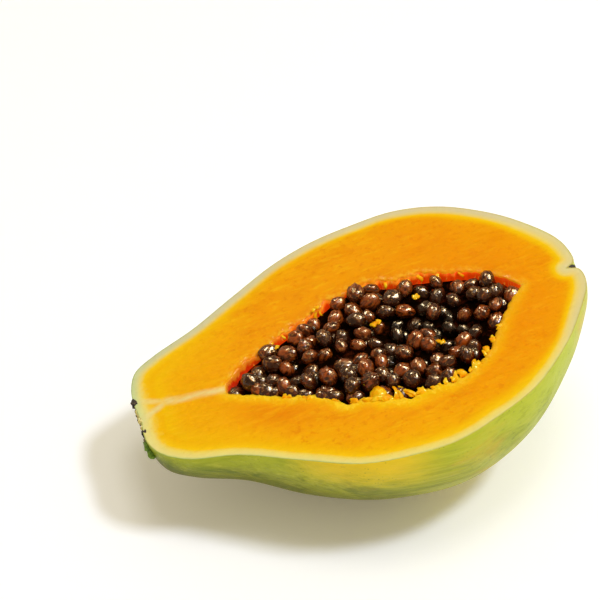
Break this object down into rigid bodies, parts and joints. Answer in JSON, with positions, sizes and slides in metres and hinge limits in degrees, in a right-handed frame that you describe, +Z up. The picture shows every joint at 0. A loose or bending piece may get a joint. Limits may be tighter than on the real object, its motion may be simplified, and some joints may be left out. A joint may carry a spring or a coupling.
{
  "type": "papaya half",
  "caption": "Ripe papaya half, cut lengthwise and resting on its round back, with thick orange flesh and a pointed cavity full of dark seeds.",
  "frame": {"origin": "the middle of the small flat spot under the belly that the half rests on", "axes": "+X level, along the fruit from the stalk end to the blossom end; +Z up; +Y to the far side of the cut face as pictured"},
  "size_m": [0.1612, 0.1146, 0.0692],
  "materials": {
    "flesh": "moist cut fruit flesh, bright orange, yellower towards the rind, with a pale yellow-green rind at the rim",
    "peel": "smooth waxy skin, dark green at the stalk end turning yellow-green and orange-yellow",
    "seeds": "wet, wrinkled, almost black seeds in clear gel",
    "pulp": "torn, moist yellow pulp at the edge of the cavity"
  },
  "bodies": {
    "root": {"fruit_half": "flesh", "seeds": "seeds"}
  },
  "joints": []
}
